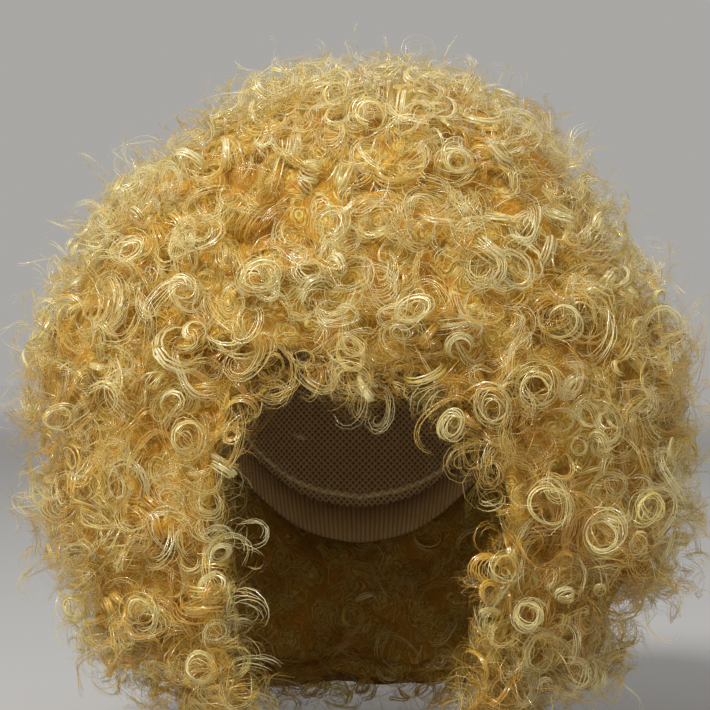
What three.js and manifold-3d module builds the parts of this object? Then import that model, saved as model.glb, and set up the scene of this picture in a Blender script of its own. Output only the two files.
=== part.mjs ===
// A curly wig in its worn form: a net cap with an elastic edge band, and the curly hair that is sewn to it.
// Millimetres, +Z up, the face side towards -Y. The origin is where the top of the head meets the cap.
// Azimuths are measured round +Z from the face side, in degrees, positive towards +X.
import * as THREE from "three";
import { mergeVertices } from "three/addons/utils/BufferGeometryUtils.js";
import Module from "manifold-3d";

const wasm = await Module();
wasm.setup();

// Head form inside the cap
const HEAD_HALF_WIDTH = 76;
const HEAD_HALF_LENGTH = 95;
const CROWN_TO_WIDEST = 100;

// Cap
const CAP_WALL = 1.5;
const BAND_GRIP = 0.5; // how far the band stands in from the net, to grip the head
const BAND_WIDTH = 16;
const SEAM_GAP = 0.3;
const EDGE_CLEARANCE = 0.6; // drop from the band's lower edge to the hair under it

// Hair
const CURL_ROUNDNESS = 2.25; // superellipse exponent of the hair's outline from above
const CROWN_HALF_ANGLE = 44; // the crown's curls grow within this angle of upright, at the head's centre
const FRINGE_CUT = -92;
const FRINGE_HALF_ANGLE = 50;
const NAPE_CUT = -96;
const BACK_HALF_ANGLE = 52;

// Mesh steps
const CAP_COLUMNS = 40;
const DOME_ROWS = 8;
const NECK_ROWS = 5;
const CONE_COLUMNS = 48;
const HAIR_COLUMNS = 54;
const STEPS_PER_SECTION = 2;
const OPENING_STEPS = 30;
const FAR = 400; // past every side of the wig

// Lower edge of the cap: how far it lies below the crown, from the forehead round to the nape
const CAP_EDGE = [
  { azimuth: 0, drop: 50 },
  { azimuth: 30, drop: 54 },
  { azimuth: 58, drop: 80 },
  { azimuth: 80, drop: 106 },
  { azimuth: 102, drop: 94 },
  { azimuth: 125, drop: 110 },
  { azimuth: 155, drop: 142 },
  { azimuth: 180, drop: 150 },
];

// Jaw and neck below the widest level of the head
const LOWER_HEAD = [
  { z: -100, halfWidth: 76, front: 95, back: 95 },
  { z: -150, halfWidth: 68, front: 90, back: 82 },
  { z: -185, halfWidth: 60, front: 86, back: 68 },
  { z: -240, halfWidth: 57, front: 80, back: 60 },
];

// Outline of the hair, a row for each level: its reach to each side, to the front and to the back
const HAIR_SECTIONS = [
  { z: 66, left: 34, right: 48, front: 43, back: 49 },
  { z: 55, left: 55, right: 67, front: 70, back: 76 },
  { z: 40, left: 75, right: 85, front: 92, back: 98 },
  { z: 22, left: 98, right: 99, front: 110, back: 118 },
  { z: 4, left: 116, right: 109, front: 122, back: 132 },
  { z: -15, left: 129, right: 123, front: 129, back: 143 },
  { z: -38, left: 138, right: 138, front: 132, back: 151 },
  { z: -60, left: 150, right: 146, front: 129, back: 156 },
  { z: -88, left: 148, right: 150, front: 122, back: 158 },
  { z: -112, left: 144, right: 148, front: 116, back: 156 },
  { z: -132, left: 147, right: 148, front: 112, back: 152 },
  { z: -150, left: 138, right: 145, front: 108, back: 146 },
  { z: -166, left: 130, right: 139, front: 104, back: 139 },
  { z: -176, left: 128, right: 120, front: 101, back: 134 },
  { z: -194, left: 121, right: 118, front: 94, back: 123 },
  { z: -206, left: 104, right: 109, front: 87, back: 112 },
  { z: -216, left: 88, right: 86, front: 77, back: 99 },
  { z: -224, left: 70, right: 69, front: 64, back: 82 },
];
const HAIR_PEAK = { x: 8, y: 2, z: 70 };
const HAIR_FOOT = -225;

// Clumps of curls that swell the outline: height, waves round the head, waves per millimetre of height, phase
const CLUMPS = [
  { height: 2.2, around: 9, perHeight: 0.021, phase: 0.6 },
  { height: 1.9, around: -13, perHeight: 0.017, phase: 2.1 },
  { height: 1.5, around: 4, perHeight: -0.029, phase: 4.0 },
];
const CLUMPS_FROM_RADIUS = 110; // nearer the crown's middle they fade

// Edge of the hair round the face, seen from the front, from the left side of the neck over the brow to the right
const FACE_EDGE = [
  { x: -38, z: -216 },
  { x: -43, z: -190 },
  { x: -50, z: -165 },
  { x: -53, z: -138 },
  { x: -52, z: -112 },
  { x: -46, z: -92 },
  { x: -38, z: -78 },
  { x: -29, z: -70 },
  { x: -18, z: -76 },
  { x: -4, z: -83 },
  { x: 12, z: -83 },
  { x: 22, z: -79 },
  { x: 30, z: -86 },
  { x: 38, z: -95 },
  { x: 48, z: -102 },
  { x: 53, z: -120 },
  { x: 53, z: -145 },
  { x: 49, z: -172 },
  { x: 44, z: -196 },
  { x: 41, z: -216 },
];

const radians = THREE.MathUtils.degToRad;

// One column of a table at a key, on a smooth curve through the rows. Keys may rise or fall.
function readTable(table, keyColumn, column, key) {
  const keys = table.map((row) => row[keyColumn]);
  const values = table.map((row) => row[column]);
  const last = keys.length - 1;
  const rising = keys[last] > keys[0];
  const start = keys.findIndex((k, i) => i === last - 1 || (rising ? key < keys[i + 1] : key > keys[i + 1]));
  const slope = (i) => {
    const before = Math.max(i - 1, 0);
    const after = Math.min(i + 1, last);
    return (values[after] - values[before]) / (keys[after] - keys[before]);
  };
  const span = keys[start + 1] - keys[start];
  const t = THREE.MathUtils.clamp((key - keys[start]) / span, 0, 1);
  const ease = t * t * (3 - 2 * t);
  const bend = t * (1 - t) * span;
  const line = values[start] + (values[start + 1] - values[start]) * ease;
  return line + bend * ((1 - t) * slope(start) - t * slope(start + 1));
}

// A closed mesh over rings that run from top to bottom. The ends close to points, or the last ring joins the first.
function loft(rings, ends) {
  const columns = rings[0].length;
  const points = rings.flat();
  const faces = [];
  const at = (ring, column) => (ring % rings.length) * columns + (column % columns);
  const bands = ends ? rings.length - 1 : rings.length;
  for (let ring = 0; ring < bands; ring++) {
    for (let column = 0; column < columns; column++) {
      const [a, b] = [at(ring, column), at(ring + 1, column)];
      const [c, d] = [at(ring + 1, column + 1), at(ring, column + 1)];
      faces.push(a, b, d, b, c, d);
    }
  }
  if (ends) {
    const top = points.push(ends.top) - 1;
    const foot = points.push(ends.foot) - 1;
    const lastRing = rings.length - 1;
    for (let column = 0; column < columns; column++) {
      faces.push(top, at(0, column), at(0, column + 1));
      faces.push(foot, at(lastRing, column + 1), at(lastRing, column));
    }
  }
  return new THREE.BufferGeometry().setFromPoints(points).setIndex(faces);
}

// A ring of points, one for each azimuth
function ring(columns, pointAt) {
  return Array.from({ length: columns }, (_, column) => pointAt((360 * column) / columns));
}

// A geometry as a solid that can be cut and joined
function solid(geometry) {
  const mesh = new wasm.Mesh({
    numProp: 3,
    vertProperties: new Float32Array(geometry.getAttribute("position").array),
    triVerts: new Uint32Array(geometry.index.array),
  });
  return new wasm.Manifold(mesh);
}

// A geometry whose corners are split between its faces, as a solid
function weldedSolid(geometry) {
  geometry.deleteAttribute("normal");
  geometry.deleteAttribute("uv");
  return solid(mergeVertices(geometry));
}

// A solid back as a geometry
function geometryOf(body) {
  const mesh = body.getMesh();
  const geometry = new THREE.BufferGeometry();
  geometry.setAttribute("position", new THREE.BufferAttribute(mesh.vertProperties, 3));
  geometry.setIndex(new THREE.BufferAttribute(mesh.triVerts, 1));
  return geometry;
}

// Head form

// A point on the head's dome, or outside it by an offset. The polar angle is 0 at the crown.
function domePoint(azimuth, polar, offset) {
  const level = Math.sin(polar);
  return new THREE.Vector3(
    (HEAD_HALF_WIDTH + offset) * level * Math.sin(radians(azimuth)),
    -(HEAD_HALF_LENGTH + offset) * level * Math.cos(radians(azimuth)),
    (CROWN_TO_WIDEST + offset) * Math.cos(polar) - CROWN_TO_WIDEST,
  );
}

// A point on the head below the cap's edge
function neckPoint(azimuth, z, offset) {
  const aheadOfEars = Math.cos(radians(azimuth)) > 0;
  const above = Math.max((z + CROWN_TO_WIDEST) / CROWN_TO_WIDEST, 0);
  const narrowing = Math.sqrt(1 - above * above);
  const size = (column) => readTable(LOWER_HEAD, "z", column, Math.min(z, -CROWN_TO_WIDEST)) * narrowing + offset;
  return new THREE.Vector3(
    size("halfWidth") * Math.sin(radians(azimuth)),
    -size(aheadOfEars ? "front" : "back") * Math.cos(radians(azimuth)),
    z,
  );
}

function capEdgeDrop(azimuth) {
  const fromFace = Math.abs(azimuth > 180 ? azimuth - 360 : azimuth);
  return readTable(CAP_EDGE, "azimuth", "drop", fromFace);
}

function capEdgePolar(azimuth, extraDrop = 0) {
  return Math.acos(1 - (capEdgeDrop(azimuth) + extraDrop) / CROWN_TO_WIDEST);
}

// Angle at the head's centre of a length along the cap
function capAngle(length) {
  return length / HEAD_HALF_LENGTH;
}

// Rings down the dome, from just below the crown to a polar angle that depends on the azimuth
function domeRings(endPolar, offset) {
  return Array.from({ length: DOME_ROWS }, (_, row) =>
    ring(CAP_COLUMNS, (azimuth) => domePoint(azimuth, (endPolar(azimuth) * (row + 1)) / DOME_ROWS, offset)),
  );
}

// Cap

// Where the net stops, just above the band
function netEndPolar(azimuth) {
  return capEdgePolar(azimuth) - capAngle(BAND_WIDTH + SEAM_GAP);
}

function makeCapNet() {
  const outside = domeRings(netEndPolar, CAP_WALL);
  const inside = domeRings(netEndPolar, 0).reverse();
  const ends = { top: domePoint(0, 0, CAP_WALL), foot: domePoint(0, 0, 0) };
  return loft([...outside, ...inside], ends);
}

function makeEdgeBand() {
  const bandTop = (azimuth) => capEdgePolar(azimuth) - capAngle(BAND_WIDTH);
  const bandRing = (polar, offset) => ring(CAP_COLUMNS, (azimuth) => domePoint(azimuth, polar(azimuth), offset));
  return loft([
    bandRing(bandTop, CAP_WALL),
    bandRing(capEdgePolar, CAP_WALL),
    bandRing(capEdgePolar, -BAND_GRIP),
    bandRing(bandTop, -BAND_GRIP),
  ]);
}

// Hair

// The hollow in the hair that the cap, the head and the neck fill
function headHollow() {
  const offset = CAP_WALL + SEAM_GAP;
  const edgeRing = ring(CAP_COLUMNS, (azimuth) => domePoint(azimuth, capEdgePolar(azimuth, EDGE_CLEARANCE), offset));
  const neckFoot = LOWER_HEAD.at(-1).z;
  const neckRings = Array.from({ length: NECK_ROWS }, (_, row) =>
    ring(CAP_COLUMNS, (azimuth) => {
      const edge = -capEdgeDrop(azimuth) - EDGE_CLEARANCE;
      return neckPoint(azimuth, edge + ((neckFoot - edge) * (row + 1)) / NECK_ROWS, offset);
    }),
  );
  const ends = { top: domePoint(0, 0, offset), foot: new THREE.Vector3(0, 0, neckFoot) };
  return solid(loft([...domeRings(netEndPolar, offset), edgeRing, ...neckRings], ends));
}

function clumpHeight(azimuth, z) {
  const wave = (c) => c.height * Math.sin(radians(c.around * azimuth) + 2 * Math.PI * c.perHeight * z + c.phase);
  return CLUMPS.reduce((sum, clump) => sum + wave(clump), 0);
}

// A point on the hair's outside, at a level given as a fractional row of HAIR_SECTIONS
function hairPoint(azimuth, level) {
  const rows = HAIR_SECTIONS.map((section, row) => ({ ...section, row }));
  const value = (column) => readTable(rows, "row", column, level);
  const [across, along] = [Math.sin(radians(azimuth)), -Math.cos(radians(azimuth))];
  const curve = (share) => Math.sign(share) * Math.abs(share) ** (2 / CURL_ROUNDNESS);
  const z = value("z");
  const outline = new THREE.Vector2(
    value(across > 0 ? "right" : "left") * curve(across),
    value(along > 0 ? "back" : "front") * curve(along),
  );
  const fullClumps = Math.min(outline.length() / CLUMPS_FROM_RADIUS, 1);
  outline.setLength(outline.length() + fullClumps * clumpHeight(azimuth, z));
  return new THREE.Vector3(outline.x, outline.y, z);
}

function hairOutside() {
  const levels = (HAIR_SECTIONS.length - 1) * STEPS_PER_SECTION;
  const rings = Array.from({ length: levels + 1 }, (_, step) =>
    ring(HAIR_COLUMNS, (azimuth) => hairPoint(azimuth, step / STEPS_PER_SECTION)),
  );
  const top = new THREE.Vector3(HAIR_PEAK.x, HAIR_PEAK.y, HAIR_PEAK.z);
  return solid(loft(rings, { top, foot: new THREE.Vector3(0, 0, HAIR_FOOT) }));
}

// An outline drawn out along +Z
function prism(points, depth) {
  return new THREE.ExtrudeGeometry(new THREE.Shape(points), { depth, bevelEnabled: false });
}

// The space in front of the face, from the hair's edge round the face outwards
function faceOpening() {
  const edge = new THREE.SplineCurve(FACE_EDGE.map(({ x, z }) => new THREE.Vector2(x, z)));
  const first = FACE_EDGE[0];
  const last = FACE_EDGE.at(-1);
  const points = edge.getPoints(OPENING_STEPS);
  points.push(new THREE.Vector2(last.x, -FAR), new THREE.Vector2(first.x, -FAR));
  return weldedSolid(prism(points, FAR).rotateX(Math.PI / 2));
}

// Everything between two heights
function layer(bottom, top) {
  const height = top - bottom;
  const box = new THREE.BoxGeometry(2 * FAR, 2 * FAR, height).translate(0, 0, bottom + height / 2);
  return weldedSolid(box);
}

// Everything within a half-angle of an azimuth, drawn in by an inset from its two faces
function wedge(azimuth, halfAngle, inset) {
  const towards = (angle, length) =>
    new THREE.Vector2(Math.sin(radians(angle)), -Math.cos(radians(angle))).multiplyScalar(length);
  const corner = towards(azimuth, inset / Math.sin(radians(halfAngle)));
  const points = [
    corner,
    towards(azimuth - halfAngle, 2 * FAR).add(corner),
    towards(azimuth, 3 * FAR).add(corner),
    towards(azimuth + halfAngle, 2 * FAR).add(corner),
  ];
  return weldedSolid(prism(points, 2 * FAR).translate(0, 0, -FAR));
}

// Everything that grows within the crown's half-angle, drawn in by an inset from its face
function crownCone(inset) {
  const halfAngle = radians(CROWN_HALF_ANGLE);
  const cone = new THREE.ConeGeometry(FAR * Math.tan(halfAngle), FAR, CONE_COLUMNS).rotateX(-Math.PI / 2);
  return weldedSolid(cone.translate(0, 0, FAR / 2 - CROWN_TO_WIDEST + inset / Math.sin(halfAngle)));
}

// The hair's six sections, each clear of the next by the seam gap
function makeHairSections() {
  const half = SEAM_GAP / 2;
  const hair = hairOutside().subtract(headHollow()).subtract(faceOpening());
  const below = hair.subtract(crownCone(-half));
  const front = (inset) => wedge(0, FRINGE_HALF_ANGLE, inset).intersect(layer(FRINGE_CUT + inset, FAR));
  const sideHalfAngle = (180 - BACK_HALF_ANGLE) / 2;
  const side = (azimuth) => below.intersect(wedge(azimuth, sideHalfAngle, half)).subtract(front(-half));
  const rear = below.intersect(wedge(180, BACK_HALF_ANGLE, half));
  return {
    hair_crown: hair.intersect(crownCone(half)),
    hair_fringe: below.intersect(front(half)),
    hair_left: side(-sideHalfAngle),
    hair_right: side(sideHalfAngle),
    hair_back: rear.intersect(layer(NAPE_CUT + half, FAR)),
    hair_nape: rear.intersect(layer(-FAR, NAPE_CUT - half)),
  };
}

// Assembly

const curls = new THREE.MeshStandardMaterial({ color: 0xd29a3c, roughness: 0.42, metalness: 0 });
const net = new THREE.MeshStandardMaterial({ color: 0xb79a6c, roughness: 0.85, metalness: 0 });
const elastic = new THREE.MeshStandardMaterial({ color: 0xa9814a, roughness: 0.8, metalness: 0 });

function named(name, geometry, material) {
  geometry.computeVertexNormals();
  const mesh = new THREE.Mesh(geometry, material);
  mesh.name = name;
  return mesh;
}

const cap = new THREE.Group();
cap.add(named("cap_net", makeCapNet(), net));
cap.add(named("edge_band", makeEdgeBand(), elastic));

const hair = new THREE.Group();
for (const [name, body] of Object.entries(makeHairSections())) {
  hair.add(named(name, geometryOf(body), curls));
}

const wig = new THREE.Group();
wig.add(cap, hair);

export default wig;
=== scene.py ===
"""Curly wig: a net cap with an elastic edge band, and golden hair permed into ringlets.

Every length is in metres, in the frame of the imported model: +Z up, the face opening towards -Y,
and the origin inside the cap, at its top.
"""

import math
from dataclasses import dataclass

import bmesh
import bpy
import numpy as np
from bpy.props import FloatProperty, FloatVectorProperty, IntProperty, PointerProperty, StringProperty
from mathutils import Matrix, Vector, noise
from mathutils.bvhtree import BVHTree


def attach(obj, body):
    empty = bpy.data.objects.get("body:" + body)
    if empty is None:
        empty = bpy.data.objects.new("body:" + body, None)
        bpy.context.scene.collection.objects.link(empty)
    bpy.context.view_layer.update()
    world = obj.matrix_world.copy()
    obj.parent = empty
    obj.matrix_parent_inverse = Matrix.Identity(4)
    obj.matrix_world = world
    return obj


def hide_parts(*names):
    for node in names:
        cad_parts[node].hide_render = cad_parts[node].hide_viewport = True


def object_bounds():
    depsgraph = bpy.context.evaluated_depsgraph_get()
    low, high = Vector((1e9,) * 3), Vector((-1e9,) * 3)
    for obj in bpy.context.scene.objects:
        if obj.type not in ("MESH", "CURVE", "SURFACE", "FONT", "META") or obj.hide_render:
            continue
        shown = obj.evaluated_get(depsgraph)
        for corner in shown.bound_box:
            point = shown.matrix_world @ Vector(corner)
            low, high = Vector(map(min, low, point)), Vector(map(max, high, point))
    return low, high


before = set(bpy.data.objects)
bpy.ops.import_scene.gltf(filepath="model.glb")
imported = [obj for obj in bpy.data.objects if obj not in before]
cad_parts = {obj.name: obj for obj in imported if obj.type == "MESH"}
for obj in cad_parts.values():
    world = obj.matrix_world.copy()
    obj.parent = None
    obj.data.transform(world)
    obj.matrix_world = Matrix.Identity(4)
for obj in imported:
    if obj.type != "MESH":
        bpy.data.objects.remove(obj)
CAD_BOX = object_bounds()

bl_info = {
    "name": "Curly Wig",
    "version": (1, 0, 0),
    "blender": (4, 5, 0),
    "location": "View3D > Sidebar > Wig",
    "description": "Makes a curly wig from its net cap, edge band and sections of ringlets",
    "category": "Object",
}

MM = 0.001
FULL_TURN = 2 * math.pi
BODY = "root"
HAIR_SECTIONS = ("hair_crown", "hair_fringe", "hair_left", "hair_right", "hair_back", "hair_nape")
CAP_CENTRE = np.array((0.0, 0.0, -100 * MM))  # the level where the cap is widest
CAP_RADIUS = 86 * MM  # between the cap's half width and half length
CAP_GIRTH = FULL_TURN * CAP_RADIUS

# Photograph frame: a pixel's place on the upright plane through the cap's middle
PHOTO_PIXELS = 710
PIXEL = 0.44 * MM
PHOTO_CENTRE = np.array((-2.2 * MM, 0.0, -61.6 * MM))

# Where hair lies
PROUD_HAIR = 9 * MM  # how far flying strands may pass the solid pieces' box
HAIR_LIMITS = np.array(CAD_BOX[0]) - PROUD_HAIR, np.array(CAD_BOX[1]) + PROUD_HAIR
SEAM_REACH = 2 * MM  # a face with another piece nearer than this is inside the wig
OPENING_DEPTH = -45 * MM  # behind this level the hollow is out of sight
INNER_SHARE = 0.5  # hair out of sight in the hollow, against the same area outside
SPOT_TRIES = 6  # random points for each spot that a spacing leaves room for

# Tones, dark at 0 and light at 1: painted light and shade that set hair off from the rest of its layer
CLUMP_PAINTED_LIGHT_AND_SHADE = 0.85  # painted light on a clump of curls, painted shade in the hollows between clumps
SKY_PAINTED_LIGHT = 0.24  # painted light: lighter where it faces up, darker where it faces down
HOLLOW_PAINTED_SHADE = 0.3  # painted shade: darker inside the hollow
UNDER_PAINTED_SHADE = 0.8  # painted shade: the close hair's colours, darker against those of the strands over it

# Hair strips, and the rows of the tone chart that their colours are read from
TONE_ROWS = 32
DARKEST_ROW = 4
LIGHTEST_ROW = 23
ROW_MARGIN = 0.08
ROUNDNESS = 0.45  # how far normals lean out at a strip's edges
WIDEST_STRIP = 0.8 * MM
CLEAR_WIDTH = 0.55 * MM  # a strip of a ringlet that stands out
FRIZZ_PART = 0.55  # the part of a coil that a strand of frizz follows

# Ringlets that stand out in the photograph: the middle and the width of each, in pixels
CLEAR_RINGLETS = np.array(
    [
        (370, 116, 44),
        (336, 95, 36),
        (330, 226, 44),
        (129, 250, 38),
        (185, 291, 40),
        (259, 276, 44),
        (414, 308, 42),
        (456, 160, 40),
        (562, 322, 40),
        (536, 388, 46),
        (493, 405, 44),
        (351, 376, 52),
        (452, 424, 36),
        (58, 417, 34),
        (188, 440, 46),
        (72, 608, 36),
        (141, 614, 44),
        (211, 586, 36),
        (200, 668, 36),
        (551, 504, 50),
        (603, 536, 52),
        (505, 569, 40),
        (650, 507, 42),
        (528, 615, 34),
    ],
    dtype=[("x", int), ("y", int), ("across", int)],
)

# Others like them, on the sides that turn away from the camera
CLEAR_SPACING = 52 * MM
CLEAR_TURN = 0.2  # a face turns away if its normal's Y is over this

# Stage
FLOOR_HALF = 14.0
FLOOR_FADE = (2.0, 9.0)  # from here to here the floor's colour goes over to the far one, painted light where the lamps fall off
LIGHTS = {
    "key": {"place": (-1.1, -2.3, 2.0), "size": 0.9, "colour": (1.0, 0.985, 0.96)},
    "fill": {"place": (2.0, -2.4, 0.9), "size": 1.8, "colour": (1.0, 0.98, 0.96)},
    "rim": {"place": (0.8, 2.1, 1.9), "size": 1.6, "colour": (1.0, 0.98, 0.96)},
}


# Settings


def length_setting(name, description, default):
    return FloatProperty(name=name, description=description, default=default, unit="LENGTH")


def factor_setting(name, description, default):
    return FloatProperty(name=name, description=description, default=default, subtype="FACTOR")


def power_setting(name, description, default):
    return FloatProperty(name=name, description=description, default=default, unit="POWER")


def colour_setting(name, description, default):
    return FloatVectorProperty(name=name, description=description, default=default, subtype="COLOR")


class WigHairSettings(bpy.types.PropertyGroup):
    """Sizes and colours of the hair."""

    ring_radius: length_setting("Ringlet radius", "Middle radius of a ringlet's turns", 6.8 * MM)
    ring_spacing: length_setting("Ringlet spacing", "Least distance between ringlets", 8.8 * MM)
    neat_share: factor_setting("Neat share", "Share of the outer curls that are whole ringlets", 0.4)
    strips_per_ringlet: IntProperty(
        name="Strips per ringlet",
        description="Strips of hair side by side in a ringlet",
        default=5,
        min=3,
    )
    loose_area: FloatProperty(
        name="Area per loose strand",
        description="Surface that has one loose strand",
        default=21.5 * MM**2,
        unit="AREA",
    )
    loose_width: length_setting("Loose strand width", "Width of a loose strand", 0.22 * MM)
    clump_size: length_setting("Clump size", "Width of the clumps that the curls gather in", 21 * MM)
    under_depth: length_setting("Under hair depth", "Depth of the close hair under the ringlets", 12 * MM)
    under_curl: length_setting("Under curl", "Width of a coil of the close hair", 12 * MM)
    deep: colour_setting("Deep", "Hair colour in the shade of the curls", (0.42, 0.155, 0.004))
    amber: colour_setting("Amber", "Colour of the darker strands", (0.66, 0.395, 0.04))
    gold: colour_setting("Gold", "Main hair colour", (0.75, 0.655, 0.26))
    pale: colour_setting("Pale", "Colour of the lightest strands", (0.95, 0.93, 0.74))
    glow: colour_setting("Glow", "Colour of the light that comes through a strand", (0.92, 0.79, 0.24))
    seed: IntProperty(name="Seed", description="Start of the random draws", default=7)


class WigCapSettings(bpy.types.PropertyGroup):
    """Sizes and colours of the cap."""

    net_cell: length_setting("Net cell", "Width of a hole in the net", 2.8 * MM)
    row_spacing: length_setting("Row spacing", "Distance between the sewn rows of hair", 15 * MM)
    row_width: length_setting("Row width", "Width of a sewn row", 3.4 * MM)
    rib: length_setting("Rib", "Distance between the band's ribs", 2.2 * MM)
    net_colour: colour_setting("Net", "Colour of the net's threads", (0.62, 0.44, 0.22))
    # The hair behind the net, in painted shade; the band's grooves and wear darken towards it too
    hole_shade_and_wear_colour: colour_setting("Hair behind the net", "Colour in the net's holes", (0.20, 0.085, 0.015))
    band_colour: colour_setting("Band", "Colour of the elastic band", (0.56, 0.37, 0.15))


class WigStageSettings(bpy.types.PropertyGroup):
    """The floor, the lights and the camera."""

    camera_distance: length_setting("Camera distance", "From the camera to the cap's middle", 1.2)
    floor_drop: length_setting("Floor drop", "From the wig's lowest point to the floor", 10 * MM)
    floor_colour: colour_setting("Floor", "Colour of the floor", (0.42, 0.418, 0.415))
    # Painted light: the far floor is paler where the lamps' light falls off
    far_painted_light_colour: colour_setting("Far floor", "Colour of the floor's far edge", (0.93, 0.93, 0.93))
    key_power: power_setting("Key light", "Power of the main light", 134)
    fill_power: power_setting("Fill light", "Power of the second light", 3)
    rim_power: power_setting("Rim light", "Power of the light behind", 14)
    sky_colour: colour_setting("Surroundings", "Colour of the light from all round", (0.89, 0.865, 0.835))
    sky_strength: factor_setting("Surrounding light", "Strength of the light from all round", 0.45)


# Materials


class Value:
    """An output socket, for use in Python expressions."""

    def __init__(self, finish, socket):
        self.finish = finish
        self.socket = socket

    def math(self, operation, *values):
        return self.finish.node("ShaderNodeMath", {"operation": operation}, dict(enumerate(values)))

    def __add__(self, other):
        return self.math("ADD", self, other)

    def __sub__(self, other):
        return self.math("SUBTRACT", self, other)

    def __rsub__(self, other):
        return self.math("SUBTRACT", other, self)

    def __mul__(self, other):
        return self.math("MULTIPLY", self, other)

    def __truediv__(self, other):
        return self.math("DIVIDE", self, other)

    def __pow__(self, other):
        return self.math("POWER", self, other)

    __radd__ = __add__
    __rmul__ = __mul__

    def floor(self):
        return self.math("FLOOR", self)

    def fraction(self):
        return self.math("FRACT", self)

    def absolute(self):
        return self.math("ABSOLUTE", self)

    def sine(self):
        return self.math("SINE", self)

    def between(self, low, high):
        """0 below low, 1 above high and smooth between."""
        settings = {"interpolation_type": "SMOOTHSTEP", "clamp": True}
        inputs = {"Value": self, "From Min": low, "From Max": high}
        return self.finish.node("ShaderNodeMapRange", settings, inputs)


class Finish:
    """A material under construction."""

    def __init__(self, name):
        self.material = bpy.data.materials.new(name)
        self.material.use_nodes = True
        self.tree = self.material.node_tree
        self.tree.nodes.clear()

    def node(self, kind, settings=None, inputs=None, output=0):
        """Adds a node, sets it up, feeds its sockets and gives one of its outputs."""
        node = self.tree.nodes.new(kind)
        for key, value in (settings or {}).items():
            if key == "stops":
                self.set_stops(node.color_ramp, value)
            else:
                setattr(node, key, value)
        for key, value in (inputs or {}).items():
            if isinstance(value, Value):
                self.tree.links.new(value.socket, node.inputs[key])
            else:
                node.inputs[key].default_value = value
        return Value(self, node.outputs[output]) if node.outputs else None

    @staticmethod
    def set_stops(ramp, stops):
        while len(ramp.elements) < len(stops):
            ramp.elements.new(1.0)
        for element, (place, colour) in zip(ramp.elements, stops):
            element.position = place
            element.color = opaque(colour)

    def mix(self, share, first, second):
        """Two colours mixed, the second by its share."""
        settings = {"data_type": "RGBA", "clamp_factor": True}
        return self.node("ShaderNodeMix", settings, {0: share, 6: first, 7: second}, output=2)

    def grain(self, vector, scale, detail):
        """Noise from 0 to 1."""
        inputs = {"Vector": vector, "Scale": scale, "Detail": detail}
        return self.node("ShaderNodeTexNoise", {}, inputs)

    def place(self):
        """The point on the piece, in metres."""
        return self.node("ShaderNodeTexCoord", output="Object")

    def chart(self, layer):
        """The two readings of a chart."""
        chart = self.node("ShaderNodeUVMap", {"uv_map": layer})
        return [self.node("ShaderNodeSeparateXYZ", {}, {0: chart}, output=axis) for axis in "XY"]

    def bump(self, height, distance, strength):
        inputs = {"Height": height, "Distance": distance, "Strength": strength}
        return self.node("ShaderNodeBump", {}, inputs)

    def surface(self, glow=None, glow_share=0.0, **sockets):
        """Ends the material. Words in socket names are joined by underscores.

        A glow is the colour of the light that comes through from behind, mixed in by its share.
        """
        inputs = {key.replace("_", " "): value for key, value in sockets.items()}
        shader = self.node("ShaderNodeBsdfPrincipled", {}, inputs)
        if glow:
            through = self.node("ShaderNodeBsdfTranslucent", {}, {"Color": glow})
            shader = self.node("ShaderNodeMixShader", {}, {0: glow_share, 1: shader, 2: through})
        self.node("ShaderNodeOutputMaterial", {}, {"Surface": shader})
        return self.material


def opaque(colour):
    return (*colour, 1.0)


def shade_of(colour, share):
    return tuple(share * part for part in colour)


def hair_material(hair):
    """Golden hair: the tone of each strip from its row of the chart, with fine streaks along it."""
    streak_contrast = 0.4
    edge_painted_shade = 0.12
    root_dye_and_painted_shade = 0.4
    finish = Finish("golden_hair")
    along, up = finish.chart("strand")
    height = up * TONE_ROWS
    row = height.floor()
    across = height.fraction()
    streaks = {"X": along * 2.5, "Y": across * 5.5 + row * 7.3, "Z": row * 3.1}
    fibre = finish.grain(finish.node("ShaderNodeCombineXYZ", {}, streaks), 1.0, detail=3.0)
    tone = row / TONE_ROWS + (fibre - 0.5) * streak_contrast
    stops = ((0.0, hair.deep), (0.3, hair.amber), (0.6, hair.gold), (1.0, hair.pale))
    colour = finish.node("ShaderNodeValToRGB", {"stops": stops}, {"Fac": tone})
    # Painted shade along each strip's edges; the same mask rounds the bump
    edge = (across - 0.5).absolute().between(0.28, 0.5)
    # Darker towards the root: partly dye, partly painted shade where the root lies buried
    root = 1 - along.between(0.0, 0.55)
    shaded = finish.mix(edge * edge_painted_shade + root * root_dye_and_painted_shade, colour, opaque(hair.deep))
    return finish.surface(
        glow=opaque(hair.glow),
        glow_share=0.33,
        Base_Color=shaded,
        Roughness=0.19 + fibre * 0.14,
        Normal=finish.bump(fibre - edge * 0.6, 0.12 * MM, 0.6),
        IOR=1.55,
        Specular_IOR_Level=1.0,
        Coat_Weight=1.0,
        Coat_Roughness=0.1,
    )


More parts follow.
